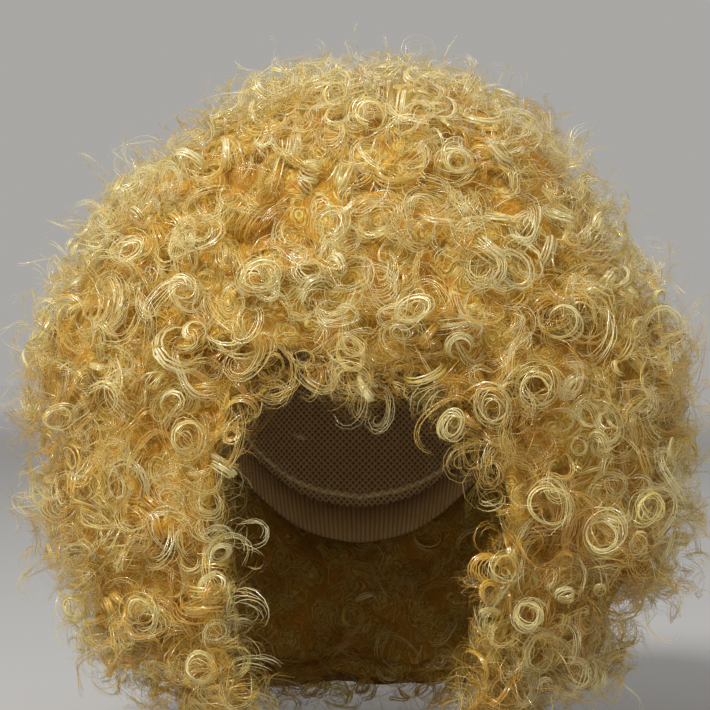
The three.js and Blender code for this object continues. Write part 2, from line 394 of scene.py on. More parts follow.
def under_hair_material(hair):
    """Close hair seen between the ringlets: strands that coil round many middles, with painted shade
    between coils.
    """
    wander_reach = (9 * MM, 9 * MM, 9 * MM)
    gap_painted_shade = 0.6
    finish = Finish("under_hair")
    place = finish.place()
    noise_inputs = {"Vector": place, "Scale": 70.0, "Detail": 1.0}
    wander = finish.node("ShaderNodeTexNoise", {}, noise_inputs, output="Color")
    bend = {0: wander, 1: wander_reach, 2: place}
    bent = finish.node("ShaderNodeVectorMath", {"operation": "MULTIPLY_ADD"}, bend)
    coils = {"Vector": bent, "Scale": 1 / hair.under_curl}
    middle = finish.node("ShaderNodeTexVoronoi", {}, coils, output="Distance")
    drift = finish.grain(place, 90.0, detail=1.0)
    fibre_place = finish.node("ShaderNodeCombineXYZ", {}, {"X": middle * 32.0, "Y": drift * 11.0})
    strands = finish.grain(fibre_place, 1.0, detail=3.0).between(0.3, 0.7)
    # Painted shade in the crevices between coils; the same mask sets the bump
    gap = middle.between(0.4, 0.75)
    # Painted shade: the close hair's colours are darkened, as it lies deep under the strands
    shades = {0.0: hair.deep, 0.55: hair.amber, 1.0: hair.gold}
    stops = [(at, shade_of(colour, UNDER_PAINTED_SHADE)) for at, colour in shades.items()]
    colour = finish.node("ShaderNodeValToRGB", {"stops": stops}, {"Fac": strands})
    return finish.surface(
        Base_Color=finish.mix(gap * gap_painted_shade, colour, opaque(hair.deep)),
        Roughness=0.6 - strands * 0.1,
        Normal=finish.bump(strands - gap, 0.5 * MM, 0.8),
        Specular_IOR_Level=0.2,
    )


def net_material(cap):
    """Stretch net: slanting threads that cross round small holes."""
    finish = Finish("cap_net")
    around, down = finish.chart("cloth")
    cells = round(CAP_GIRTH / cap.net_cell)
    wear = finish.grain(finish.place(), 45.0, detail=4.0)
    gaps = [(around * cells + down * slope / cap.net_cell).fraction() - 0.5 for slope in (1, -1)]
    first, second = [1 - gap.absolute().between(0.08, 0.24) for gap in gaps]
    thread = first.math("MAXIMUM", first, second)
    light = finish.mix(wear, opaque(cap.net_colour), opaque(cap.band_colour))
    return finish.surface(
        # Painted shade in the holes: the hair behind the net, dark
        Base_Color=finish.mix(thread, opaque(cap.hole_shade_and_wear_colour), light),
        Roughness=0.65 + wear * 0.25,
        Normal=finish.bump(first + second, 0.4 * MM, 0.9),
        Sheen_Weight=0.15,
    )


def sewn_row_material(cap, hair):
    """A row of hair held by a zigzag of thread."""
    finish = Finish("sewn_row")
    around, across = finish.chart("cloth")
    stitches = round(CAP_GIRTH / (1.2 * cap.row_width))
    zigzag = 0.66 * cap.row_width
    swing = ((around * stitches).fraction() - 0.5).absolute() * 2 - 0.5
    thread = 1 - (across - swing * zigzag).absolute().between(0.22 * MM, 0.42 * MM)
    place = finish.node("ShaderNodeCombineXYZ", {}, {"X": around * 420.0, "Y": across * 260.0})
    fibre = finish.grain(place, 1.0, detail=2.0)
    strands = finish.mix(fibre, opaque(hair.deep), opaque(hair.gold))
    return finish.surface(
        Base_Color=finish.mix(thread, strands, opaque(hair.pale)),
        Roughness=0.42 + fibre * 0.2,
        Normal=finish.bump(fibre * 0.5 + thread, 0.35 * MM, 0.9),
    )


def elastic_material(cap):
    """Knitted elastic: ribs across the band, with a fine knit on them."""
    finish = Finish("elastic")
    around, down = finish.chart("cloth")
    stitch = 0.45 * cap.rib
    ribs = (around * (FULL_TURN * round(CAP_GIRTH / cap.rib))).sine() * 0.5 + 0.5
    knit = (down * (FULL_TURN / stitch)).sine() * 0.5 + 0.5
    wear = finish.grain(finish.place(), 60.0, detail=4.0)
    # Painted shade in the grooves between ribs, with darker wear and knit added
    groove_painted_shade = (1 - ribs) ** 2.0
    dark = groove_painted_shade * 0.6 + wear * 0.25 + knit * 0.1
    return finish.surface(
        Base_Color=finish.mix(dark, opaque(cap.band_colour), opaque(cap.hole_shade_and_wear_colour)),
        Roughness=0.6 + wear * 0.25,
        Normal=finish.bump(ribs + knit * 0.3, 0.35 * MM, 0.9),
        Sheen_Weight=0.1,
    )


def floor_material(stage):
    """Pale matt floor with a faint unevenness, and painted light that makes it paler towards its far
    edge.
    """
    finish = Finish("pale_floor")
    place = finish.place()
    cloud = finish.grain(place, 3.0, detail=3.0)
    away = finish.node("ShaderNodeVectorMath", {"operation": "LENGTH"}, {0: place}, output="Value")
    cloudy = opaque(shade_of(stage.floor_colour, 0.96))
    near_colour = finish.mix(cloud, opaque(stage.floor_colour), cloudy)
    # Painted light towards the far edge, where the lamps' light falls off
    colour = finish.mix(away.between(*FLOOR_FADE), near_colour, opaque(stage.far_painted_light_colour))
    return finish.surface(Base_Color=colour, Roughness=0.8 + cloud * 0.1)


# Arrays


def unit(vectors):
    return vectors / np.maximum(np.linalg.norm(vectors, axis=-1, keepdims=True), 1e-12)


def square_to(directions, vectors):
    """Unit vectors turned the least way that makes them square to directions."""
    return unit(vectors - (vectors * directions).sum(-1, keepdims=True) * directions)


def any_side(directions, rng):
    """A random direction square to each of these, and the one that is square to both."""
    first = square_to(directions, rng.normal(size=directions.shape))
    return first, np.cross(directions, first)


def turned(first, second, angles):
    """Directions turned from the first towards the second, which is square to it."""
    return first * np.cos(angles)[..., None] + second * np.sin(angles)[..., None]


def read(items, key, kind, width=3):
    """One reading of each item of a mesh, a row each."""
    values = np.empty((len(items), width), dtype=kind)
    items.foreach_get(key, values.ravel())
    return values


def cad_arrays(*names):
    """The corners and triangles of CAD nodes, joined."""
    corners, triangles, count = [], [], 0
    for name in names:
        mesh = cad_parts[name].data
        mesh.calc_loop_triangles()
        corners.append(read(mesh.vertices, "co", float))
        triangles.append(read(mesh.loop_triangles, "vertices", np.int32) + count)
        count += len(mesh.vertices)
    return np.concatenate(corners), np.concatenate(triangles)


def tree_of(*names):
    """One search tree over the triangles of CAD nodes."""
    corners, triangles = cad_arrays(*names)
    return BVHTree.FromPolygons(corners.tolist(), triangles.tolist())


WHOLE_WIG = tree_of(*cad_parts)


def exposed_faces(name):
    """A CAD node's surface in the open air: the corners, the normal and the area of each triangle."""
    corners, triangles = cad_arrays(name)
    faces = corners[triangles]
    across = np.cross(faces[:, 1] - faces[:, 0], faces[:, 2] - faces[:, 0])
    areas = np.linalg.norm(across, axis=1) / 2
    normals = unit(across)
    starts = faces.mean(axis=1) + normals * 0.05 * MM

    def is_open(start, normal):
        return WHOLE_WIG.ray_cast(Vector(start), Vector(normal), SEAM_REACH)[0] is None

    exposed = [area > 0 and is_open(start, out) for start, out, area in zip(starts, normals, areas)]
    return faces[exposed], normals[exposed], areas[exposed]


def facing_in(points, normals):
    """Which points lie in the hollow, with their backs to the hair."""
    return ((points - CAP_CENTRE) * normals).sum(-1) < 0


def out_of_sight(points, normals):
    """Which points lie deep in the hollow."""
    return facing_in(points, normals) & (points[:, 1] > OPENING_DEPTH)


def hair_clumps(points, hair):
    """How far each point lies on a clump of curls, about 0.5, or between clumps, about -0.5."""
    return np.array([noise.noise(Vector(point) / hair.clump_size) for point in points])


def painted_light_of_place(points, normals, hair):
    """Painted light and shade: how much paler hair is than the rest of its layer, by where it lies and
    faces.
    """
    lit = CLUMP_PAINTED_LIGHT_AND_SHADE * hair_clumps(points, hair) + SKY_PAINTED_LIGHT * normals[:, 2]
    return lit - HOLLOW_PAINTED_SHADE * facing_in(points, normals)


def scatter(surface, count, rng):
    """Random points on a surface, with their normals."""
    faces, normals, areas = surface
    chosen = rng.choice(len(faces), size=count, p=areas / areas.sum())
    a, b = rng.random((2, count, 1))
    over = a + b > 1
    a = np.where(over, 1 - a, a)
    b = np.where(over, 1 - b, b)
    corner = faces[chosen]
    points = corner[:, 0] + a * (corner[:, 1] - corner[:, 0]) + b * (corner[:, 2] - corner[:, 0])
    return points, normals[chosen]


def crowd(surface, spacing, rng):
    """More random points on a surface than the spacing leaves room for, with their normals."""
    return scatter(surface, int(SPOT_TRIES * surface[2].sum() / spacing**2), rng)


def thin_out(points, spacing):
    """Which points to keep so that no two are nearer than the spacing."""
    cells = {}
    kept = []
    for index, point in enumerate(points):
        cell = tuple((point // spacing).astype(int))
        near = [
            other
            for dx in (-1, 0, 1)
            for dy in (-1, 0, 1)
            for dz in (-1, 0, 1)
            for other in cells.get((cell[0] + dx, cell[1] + dy, cell[2] + dz), ())
        ]
        if all(np.sum((points[other] - point) ** 2) > spacing**2 for other in near):
            cells.setdefault(cell, []).append(index)
            kept.append(index)
    return np.array(kept, dtype=int)


def smoothed(points, normals, reach):
    """Normals evened out over their neighbours within a reach, corners left."""
    apart = np.linalg.norm(points[:, None] - points[None], axis=-1)
    alike = np.clip(normals @ normals.T, 0, 1)
    weight = np.exp(-((apart / reach) ** 2)) * alike
    return unit(weight @ normals)


def quads_between(first, second):
    """Quads that join lines of corners to the lines beside them."""
    quads = np.stack([first[..., :-1], second[..., :-1], second[..., 1:], first[..., 1:]], axis=-1)
    return quads.reshape(-1, 4)


# Hair


@dataclass
class Strands:
    """Flat strips of hair: a row for each strip, a column for each point along it."""

    points: np.ndarray
    facing: np.ndarray
    half_width: np.ndarray
    tone: np.ndarray

    def inside(self):
        """The strips that stay within the hair's limits."""
        low, high = HAIR_LIMITS
        kept = ((self.points > low) & (self.points < high)).all(axis=(1, 2))
        return Strands(*(values[kept] for values in vars(self).values()))


def taper(along, root, tip):
    """Width along a strip: narrow at the root, full in the middle, fine at the tip."""
    opening = root + (1 - root) * np.clip(along / 0.12, 0, 1)
    closing = tip + (1 - tip) * np.clip((1 - along) / 0.3, 0, 1) ** 0.7
    return np.minimum(opening, closing)


def ringlet_strips(
    centres, outward, axes, radii, lay, tones, rng, strips, steps, frizz=0.0, part=1.0, width=None
):
    """Ringlets: ribbons of side by side strips that coil round an axis.

    The lay is the ribbon's slant: at 0 it winds flat round a drum, and at a right angle it lies like
    a watch spring. With frizz the strips stray from the ribbon. Each follows part of the coil, and
    with a width they are strands.
    """
    root_depth = 9 * MM
    count = len(centres)
    lock = np.repeat(np.arange(count), strips)
    along = np.linspace(0, 1, steps + 1)[None, :]

    def each_lock(low, high):
        return rng.uniform(low, high, count)[lock, None]

    def each_strip(low, high):
        return rng.uniform(low, high, (count * strips, 1))

    # The share of the coil that each strip follows, and its turn round the axis
    size = radii[lock, None]
    frizz = np.broadcast_to(frizz, count)[lock, None]
    stray = 1 + 4 * frizz
    place = np.tile(np.linspace(-0.5, 0.5, strips), count)[:, None] + stray * each_strip(-0.08, 0.08)
    turns = each_lock(1.0, 2.1)
    hand = rng.choice((-1.0, 1.0), count)[lock, None]
    covered = part * each_strip(0.7, 1)
    share = each_strip(0, 1) * (1 - covered) + covered * along
    turn = each_lock(0, FULL_TURN) + stray * each_strip(-0.12, 0.12) + hand * FULL_TURN * turns * share

    # The coil: how far it reaches from the axis, rises along it and leans over
    axis = unit(axes[lock] + 0.35 * frizz * rng.normal(size=(count * strips, 3)))
    side = square_to(axis, any_side(axes, rng)[0][lock])
    side, other, axis = side[:, None], np.cross(axis, side)[:, None], axis[:, None]
    spoke = np.cos(turn)[..., None] * side + (np.sin(turn) * each_lock(0.65, 1))[..., None] * other
    wave = np.sin(FULL_TURN * (each_strip(1.0, 2.6) * share + each_strip(0, 1)))
    uneven = np.sin(FULL_TURN * (each_lock(0.4, 1.1) * share + each_lock(0, 1)))
    reach = size * (1.12 - each_lock(0.2, 0.5) * share + 0.12 * uneven + frizz * each_strip(-0.25, 0.2))
    rise = size * (each_lock(0.35, 0.75) * turns * (share - 0.7) + frizz * each_strip(-0.3, 0.3))
    lean = side * each_lock(-0.5, 0.5)[..., None] + other * each_lock(-0.5, 0.5)[..., None]

    # The ribbon: its slant, and each strip's place across it
    band = size * each_lock(0.24, 0.64)
    slant = lay[lock, None] + each_lock(-0.6, 0.6) * (share - 0.5)
    across = turned(axis, -spoke, slant)
    upright = turned(spoke, axis, slant)
    shift = band * (0.7 + each_strip(0.2, 0.7) * share) * (place + (0.12 + 0.3 * frizz) * wave)
    swell = size * each_strip(-0.07, 0.07) - 0.6 * band * place**2
    tuck = root_depth * np.clip(1 - share / 0.22, 0, 1) ** 2
    points = centres[lock, None] + axis * rise[..., None] + spoke * reach[..., None]
    points = points + lean * (size * (share - 0.6))[..., None]
    points = points + across * shift[..., None] + upright * swell[..., None]
    full = np.minimum(1.25 * band / strips, WIDEST_STRIP) if width is None else width
    return Strands(
        points=points - outward[lock, None] * tuck[..., None],
        facing=upright + across * (0.8 * place + each_strip(-0.25, 0.25))[..., None],
        half_width=full / 2 * each_strip(0.7, 1.25) * taper(along, 0.15, 0.12),
        tone=tones[lock] + rng.normal(0, 0.06, count * strips),
    )


def tuft_strips(roots, outward, tones, rng, strands, width, length, bend, fan, lift, lean, wave):
    """Tufts of loose single strands that wander over the hair side by side, rooted under its surface."""
    steps = 9
    path_steps = 18
    root_depth = 5 * MM
    hair_radius = 140 * MM  # the hair's round outside, which strands fall along
    count = len(roots)
    tuft = np.repeat(np.arange(count), strands)
    total = len(tuft)
    along = np.linspace(0, 1, steps + 1)[None, :]
    path_along = np.linspace(0, 1, path_steps + 1)[None, :]

    def each_tuft(low, high):
        return rng.uniform(low, high, (count, 1))

    def each_strand(low, high):
        return rng.uniform(low, high, (total, 1))

    # The path of each tuft, from its root
    side, other = any_side(outward, rng)
    lean = each_tuft(-lean, lean)
    second = turned(other, outward, lean[:, 0])
    step = each_tuft(*length) / path_steps
    bending = rng.choice((-1.0, 1.0), (count, 1)) / each_tuft(*bend)
    swing = np.sin(FULL_TURN * (each_tuft(0.7, 1.8) * path_along + each_tuft(0, 1)))
    heading = each_tuft(0, FULL_TURN) + np.cumsum(bending * (1 + wave * swing) * step, axis=1)
    forward = turned(side[:, None], second[:, None], heading)
    sideways = turned(second[:, None], -side[:, None], heading)
    path = np.cumsum(forward * step[..., None], axis=1)
    path -= path[:, :1]

    # The share of the path that each strand follows
    start = each_strand(0, 0.25)
    share = start + (1 - each_strand(0, 0.3) - start) * along
    before = np.minimum((share * path_steps).astype(int), path_steps - 1)
    part = (share * path_steps - before)[..., None]

    def follow(line):
        return line[tuft[:, None], before] * (1 - part) + line[tuft[:, None], before + 1] * part

    # Each strand's place beside the path and over the hair
    up = outward[tuft, None]
    place = np.tile(np.linspace(-0.5, 0.5, strands), count)[:, None] + each_strand(-0.12, 0.12)
    wiggle = 0.35 * MM * np.sin(FULL_TURN * (each_strand(0.8, 2.0) * along + each_strand(0, 1)))
    offset = each_tuft(*fan)[tuft] * place * (0.5 + each_strand(0.5, 1.0) * share) + wiggle
    ripple = 0.7 * MM * np.sin(FULL_TURN * (each_strand(0.5, 1.5) * along + each_strand(0, 1)))
    centre = follow(path)
    fall = (centre**2).sum(-1) / (2 * hair_radius)
    height = each_tuft(*lift)[tuft] + each_strand(-0.8 * MM, 0.8 * MM) + ripple - fall
    height = height - root_depth * np.clip(1 - along / 0.2, 0, 1) ** 2
    roll = each_tuft(-0.6, 0.6)[tuft] + each_strand(-0.4, 0.4)
    facing = turned(up, side[tuft, None], roll)
    points = roots[tuft, None] + centre + follow(sideways) * offset[..., None]
    return Strands(
        points=points + up * height[..., None],
        facing=np.repeat(facing, steps + 1, axis=1),
        half_width=width / 2 * each_strand(0.7, 1.3) * taper(along, 0.7, 0.3),
        tone=tones[tuft] + rng.normal(0, 0.05, total),
    )


def strip_frame(strands):
    """Which way each point of a strip faces, and the direction across it."""
    along = unit(np.gradient(strands.points, axis=1))
    facing = square_to(along, strands.facing)
    return facing, np.cross(along, facing)


def ribbon_mesh(name, batches):
    """One mesh of all the strips, with rounded normals and the chart that their colours are read from.

    A strip is a row of quads, with a corner at each edge. Its place in the chart is a row for its tone.
    """
    edges = np.array((-1.0, 1.0))
    parts = []
    count = 0
    for strands in batches:
        number, length = strands.half_width.shape
        facing, side = strip_frame(strands)
        facing, side = facing[:, :, None], side[:, :, None]
        offset = (strands.half_width[..., None] * edges)[..., None]
        normals = unit(facing + ROUNDNESS * side * edges[:, None])
        row = np.clip((strands.tone * TONE_ROWS).astype(int), DARKEST_ROW, LIGHTEST_ROW)
        chart = np.empty((number, length, 2, 2))
        chart[..., 0] = np.linspace(0.01, 0.99, length)[:, None]
        chart[..., 1] = (row[:, None, None] + 0.5 + (0.5 - ROW_MARGIN) * edges) / TONE_ROWS
        index = count + np.arange(number * length * 2).reshape(number, length, 2)
        quads = quads_between(index[..., 0], index[..., 1])
        corners = strands.points[:, :, None] + side * offset
        parts.append((corners.reshape(-1, 3), quads, chart.reshape(-1, 2), normals.reshape(-1, 3)))
        count += index.size
    corners, quads, chart, normals = (np.concatenate(part) for part in zip(*parts))
    return mesh_from_faces(name, corners, quads, chart, ("strand", "OFBake"), normals)


def mesh_from_faces(name, corners, faces, chart, layers, normals=None):
    """A smooth mesh of faces of one kind, with a chart of its corners in the named layers."""
    mesh = bpy.data.meshes.new(name)
    mesh.vertices.add(len(corners))
    mesh.vertices.foreach_set("co", corners.ravel())
    mesh.loops.add(faces.size)
    mesh.loops.foreach_set("vertex_index", faces.ravel())
    mesh.polygons.add(len(faces))
    mesh.polygons.foreach_set("loop_start", np.arange(0, faces.size, faces.shape[1]))
    make_smooth(mesh)
    mesh.update(calc_edges=True)
    for layer in layers:
        mesh.uv_layers.new(name=layer).uv.foreach_set("vector", chart[faces.ravel()].ravel())
    if normals is not None:
        mesh.normals_split_custom_set_from_vertices(normals)
    return mesh


def make_smooth(mesh):
    mesh.polygons.foreach_set("use_smooth", np.ones(len(mesh.polygons), dtype=bool))


def camera_place(distance):
    return PHOTO_CENTRE - np.array((0.0, distance, 0.0))


def photographed_ringlets(section, distance):
    """The photograph's clear ringlets on one section: place, normal, way to the camera and radius."""
    own = tree_of(section)
    camera = camera_place(distance)
    middle = PHOTO_PIXELS / 2
    found = []
    for ringlet in CLEAR_RINGLETS:
        offset = np.array((ringlet["x"] - middle, 0.0, middle - ringlet["y"]))
        ray = unit(PHOTO_CENTRE + offset * PIXEL - camera)
        first, _, _, far = WHOLE_WIG.ray_cast(Vector(camera), Vector(ray))
        place, normal, _, near = own.ray_cast(Vector(camera), Vector(ray))
        if first is not None and place is not None and near <= far + 0.1 * MM:
            found.append((place, normal, -ray, ringlet["across"] * PIXEL / 2))
    return found


def unseen_ringlets(surface, rng):
    """Clear ringlets on the sides that the photograph doesn't show: place, normal, axis and radius."""
    points, normals = crowd(surface, CLEAR_SPACING, rng)
    away = (normals[:, 1] > CLEAR_TURN) & ~facing_in(points, normals)
    points, normals = points[away], normals[away]
    kept = thin_out(points, CLEAR_SPACING)
    radii = rng.choice(CLEAR_RINGLETS["across"] * PIXEL / 2, len(kept))
    axes = unit(normals[kept] + rng.uniform(-0.5, 0.5, (len(kept), 3)))
    return list(zip(points[kept], normals[kept], axes, radii))


@dataclass
class Ringlets:
    """Where ringlets lie and how they turn, one row each."""

    centres: np.ndarray
    outward: np.ndarray
    axes: np.ndarray
    radii: np.ndarray
    lay: np.ndarray
    tones: np.ndarray

    def some(self, chosen):
        return Ringlets(*(values[chosen] for values in vars(self).values()))

    def coil(self, rng, **shape):
        return ringlet_strips(**vars(self), rng=rng, **shape).inside()


def scattered_ringlets(surface, spacing, hair, rng, depths, tone):
    """Ringlets all over a surface, at depths under it in millimetres: least, most common and greatest."""
    normal_reach = 14 * MM
    hollow_depth = 12  # millimetres deeper between clumps
    depth_painted_shade = 0.02  # painted shade: darker by this for each millimetre deeper
    points, normals = crowd(surface, spacing, rng)
    kept = thin_out(points, spacing)
    kept = kept[~out_of_sight(points[kept], normals[kept]) | (rng.random(len(kept)) < INNER_SHARE)]
    points = points[kept]
    normals = smoothed(points, normals[kept], normal_reach)
    count = len(points)
    radii = hair.ring_radius * np.clip(rng.lognormal(0, 0.3, count), 0.55, 1.7)
    side, _ = any_side(normals, rng)
    degrees = rng.choice((18.0, 48.0, 78.0), count, p=(0.40, 0.35, 0.25)) + rng.uniform(-16, 16, count)
    tilt = np.radians(degrees)
    buried = rng.triangular(*depths, count) + hollow_depth * np.clip(-hair_clumps(points, hair), 0, 1)
    depth = buried * MM + radii * (0.95 * np.sin(tilt) + 0.45 * np.cos(tilt))
    lay = np.radians(60) - 0.6 * tilt + rng.uniform(-0.35, 0.35, count)
    # Painted light and shade by where each ringlet lies and how it faces
    tones = tone + rng.normal(0, 0.11, count) + painted_light_of_place(points, normals, hair)
    return Ringlets(
        centres=points - normals * depth[:, None],
        outward=normals,
        axes=turned(normals, side, tilt),
        radii=radii,
        lay=lay,
        tones=tones - depth_painted_shade * (buried - depths[0]),
    )


def clear_ringlets(section, surface, distance, rng):
    """The ringlets of one section that stand out, those in the photograph turned towards the camera."""
    found = photographed_ringlets(section, distance) + unseen_ringlets(surface, rng)
    places, outward, facing, radii = (np.array(list(column)) for column in zip(*found))
    count = len(places)
    return Ringlets(
        centres=places + outward * 0.5 * MM,
        outward=outward,
        axes=unit(0.65 * facing + 0.35 * outward),
        radii=0.8 * radii,
        lay=np.radians(rng.uniform(25, 65, count)),
        tones=rng.uniform(0.56, 0.7, count),
    )


def make_ringlets(section, hair, stage, rng):
    """The ringlets of one section, as ribbons, and its frizz, as single strands in loose coils.

    The frizz is both the deeper curls and the greater part of those over them.
    """
    surface = exposed_faces(section)
    spacing = hair.ring_spacing
    # The deep curls take a darker tone: painted shade under the outer ones
    deep = scattered_ringlets(surface, 0.95 * spacing, hair, rng, depths=(4, 7, 11), tone=0.38)
    outer = scattered_ringlets(surface, spacing, hair, rng, depths=(-3, 0, 5), tone=0.56)
    neat = rng.random(len(outer.radii)) < hair.neat_share
    clear = clear_ringlets(section, surface, stage.camera_distance, rng)
    loosened = outer.some(~neat)
    stray = rng.uniform(0.15, 0.9, len(loosened.radii))
    number = hair.strips_per_ringlet
    single = {"part": FRIZZ_PART, "width": 1.3 * hair.loose_width}
    ribbons = [
        outer.some(neat).coil(rng, strips=number, steps=16),
        clear.coil(rng, strips=number, steps=30, frizz=0.25, width=CLEAR_WIDTH),
    ]
    frizz = [
        deep.coil(rng, strips=number, steps=7, frizz=0.8, **single),
        loosened.coil(rng, strips=2 * number - 1, steps=9, frizz=stray, **single),
        clear.coil(rng, strips=3 * number, steps=12, frizz=1.0, **single),
    ]
    return ribbons, frizz


def make_loose_strands(section, hair, rng):
    """The loose strands of one section: tufts that lie on the ringlets, and others that fly off them."""
    strands = 7
    flying_share = 0.7
    tone = 0.54
    faces, normals, areas = exposed_faces(section)
    weights = np.where(out_of_sight(faces.mean(axis=1), normals), INNER_SHARE, 1) * areas
    tufts = int(weights.sum() / hair.loose_area / strands)
    flying = int(flying_share * tufts)
    roots, outward = scatter((faces, normals, weights), tufts + flying, rng)
    # Painted light and shade by where each tuft lies and how it faces
    tones = tone + rng.normal(0, 0.09, tufts + flying) + painted_light_of_place(roots, outward, hair)
    lying = tuft_strips(
        roots[:tufts],
        outward[:tufts],
        tones[:tufts],
        rng,
        strands=strands,
        width=hair.loose_width,
        length=(24 * MM, 46 * MM),
        bend=(5 * MM, 12 * MM),
        fan=(2 * MM, 5.5 * MM),
        lift=(-6 * MM, 2 * MM),
        lean=0.5,
        wave=0.7,
    )
    flyaway = tuft_strips(
        roots[tufts:],
        outward[tufts:],
        tones[tufts:],
        rng,
        strands=3,
        width=0.75 * hair.loose_width,
        length=(20 * MM, 42 * MM),
        bend=(5 * MM, 11 * MM),
        fan=(1 * MM, 4 * MM),
        lift=(0, 3 * MM),
        lean=1.5,
        wave=0.6,
    )
    return [lying.inside(), flyaway.inside()]


# Pieces


def add_object(name, data):
    thing = bpy.data.objects.new(name, data)
    bpy.context.scene.collection.objects.link(thing)
    return thing


def add_piece(name, mesh, material, slot, *nodes):
    """Puts a mesh in the scene as a piece that stands for CAD nodes."""
    mesh.materials.clear()
    mesh.materials.append(material)
    piece = add_object(name, mesh)
    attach(piece, BODY)
    if nodes:
        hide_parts(*nodes)


def evaluated_mesh(mesh, kind, **settings):
    """What one modifier makes of a mesh, with smooth faces."""
    holder = add_object("holder", mesh)
    modifier = holder.modifiers.new(kind, kind)
    for key, value in settings.items():
        setattr(modifier, key, value)
    graph = bpy.context.evaluated_depsgraph_get()
    result = bpy.data.meshes.new_from_object(holder.evaluated_get(graph))
    bpy.data.objects.remove(holder)
    make_smooth(result)
    return result


def smooth_copy(name):
    """A smooth copy of a CAD node: corners welded, triangles paired, sharp edges kept."""
    nearly_flat = math.radians(40)
    nearly_square = math.radians(60)
    sharp = math.radians(50)
    build = bmesh.new()
    build.from_mesh(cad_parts[name].data)
    bmesh.ops.remove_doubles(build, verts=build.verts, dist=0.002 * MM)
    bmesh.ops.join_triangles(
        build, faces=build.faces, angle_face_threshold=nearly_flat, angle_shape_threshold=nearly_square
    )
    crease = build.edges.layers.float.new("crease_edge")
    for edge in build.edges:
        if edge.calc_face_angle(0.0) > sharp:
            edge[crease] = 1.0
    mesh = bpy.data.meshes.new(name)
    build.to_mesh(mesh)
    build.free()
    return evaluated_mesh(mesh, "SUBSURF", levels=1)


def cloth_chart(mesh):
    """Adds a chart of the cap: turns round it, and metres down from the crown."""
    index = read(mesh.loops, "vertex_index", np.int32, width=1).ravel()
    starts = read(mesh.polygons, "loop_start", np.int32, width=1).ravel()
    sizes = np.diff(np.append(starts, len(index)))
    offset = read(mesh.vertices, "co", float)[index] - CAP_CENTRE
    turns = np.arctan2(offset[:, 0], -offset[:, 1]) / FULL_TURN
    turns -= np.round(turns - np.repeat(turns[starts], sizes))
    down = np.arccos(unit(offset)[:, 2]) * CAP_RADIUS
    layer = mesh.uv_layers.new(name="cloth")
    layer.uv.foreach_set("vector", np.column_stack([turns, down]).ravel())


def draw_in(places, outward, depths, surface):
    """Places moved under a surface to their depths, or to short of halfway where it is thin."""
    steps = 5
    short_of_half = 0.45
    starts = places - outward * 0.1 * MM
    rays = zip(starts, outward)
    through = [surface.ray_cast(Vector(start), Vector(-out))[3] or 0.0 for start, out in rays]
    depths = np.minimum(depths, short_of_half * np.array(through))
    reached = places
    moving = np.full(len(places), True)
    for step in range(1, steps + 1):
        moved = places - outward * (depths * step / steps)[:, None]
        room = np.array([surface.find_nearest(Vector(place))[3] for place in moved])
        moving &= room > 0.5 * depths * step / steps
        reached = np.where(moving[:, None], moved, reached)
    return reached


def make_under_hair(hair):
    """The close hair under the ringlets, drawn in from the sections' outside, most between clumps."""
    clump_depth = 16 * MM
    edge_depth = 6 * MM  # deeper where it faces down
    edge_swing = 44 * MM  # and there more so between clumps
    corners, triangles = cad_arrays(*HAIR_SECTIONS)
    joined = bpy.data.meshes.new("joined")
    joined.from_pydata(corners.tolist(), [], triangles.tolist())
    mesh = evaluated_mesh(joined, "REMESH", mode="VOXEL", voxel_size=6 * MM)
    places = read(mesh.vertices, "co", np.float32)
    outward = read(mesh.vertex_normals, "vector", np.float32)
    surface = BVHTree.FromPolygons(places.tolist(), [face.vertices[:] for face in mesh.polygons])
    hollows = np.clip(-hair_clumps(places, hair), 0, 0.5)
    facing_down = np.clip(-outward[:, 2], 0, 1)
    depths = hair.under_depth + clump_depth * hollows + facing_down * (edge_depth + edge_swing * hollows)
    mesh.vertices.foreach_set("co", draw_in(places, outward, depths, surface).ravel())
    mesh.update()
    return evaluated_mesh(mesh, "SMOOTH", factor=0.5, iterations=4)


def cap_ray(azimuth, polar):
    """The direction from the cap's middle at an azimuth from the front and an angle from the crown."""
    level = math.sin(polar)
    return Vector((level * math.sin(azimuth), -level * math.cos(azimuth), math.cos(polar)))


def rim_polar(tree, azimuth):
    """The angle from the crown where the net ends."""
    middle = Vector(CAP_CENTRE)
    polars = np.radians(np.arange(40, 150, 0.5))
    return max(polar for polar in polars if tree.ray_cast(middle, cap_ray(azimuth, polar))[0] is not None)


def make_sewn_rows(cap):
    """Rows of hair sewn along the inside of the net, all round it and in line with its edge."""
    tree = tree_of("cap_net")
    azimuths = np.radians(np.arange(0, 360, 3))
    rims = [rim_polar(tree, azimuth) for azimuth in azimuths]
    rows = round(np.mean(rims) * CAP_RADIUS / cap.row_spacing)
    across = np.array((-0.5, -0.42, 0.0, 0.42, 0.5)) * cap.row_width
    height = np.array((-0.2, 0.45, 0.7, 0.45, -0.2)) * MM
    corners, chart = [], []
    for row in range(1, rows + 1):
        for azimuth, rim in zip(azimuths, rims):
            polar = rim * (row - 0.25) / rows
            inward = -cap_ray(azimuth, polar)
            down = cap_ray(azimuth, polar + math.pi / 2)
            place = tree.ray_cast(Vector(CAP_CENTRE), -inward)[0]
            corners += [place + down * a + inward * h for a, h in zip(across, height)]
            chart += [(azimuth / FULL_TURN, a) for a in across]
    index = np.arange(len(corners)).reshape(rows, len(azimuths), len(across))
    quads = quads_between(index, np.roll(index, -1, axis=1))
    return mesh_from_faces("sewn_rows", np.array(corners), quads, np.array(chart), ("cloth",))


# Operators


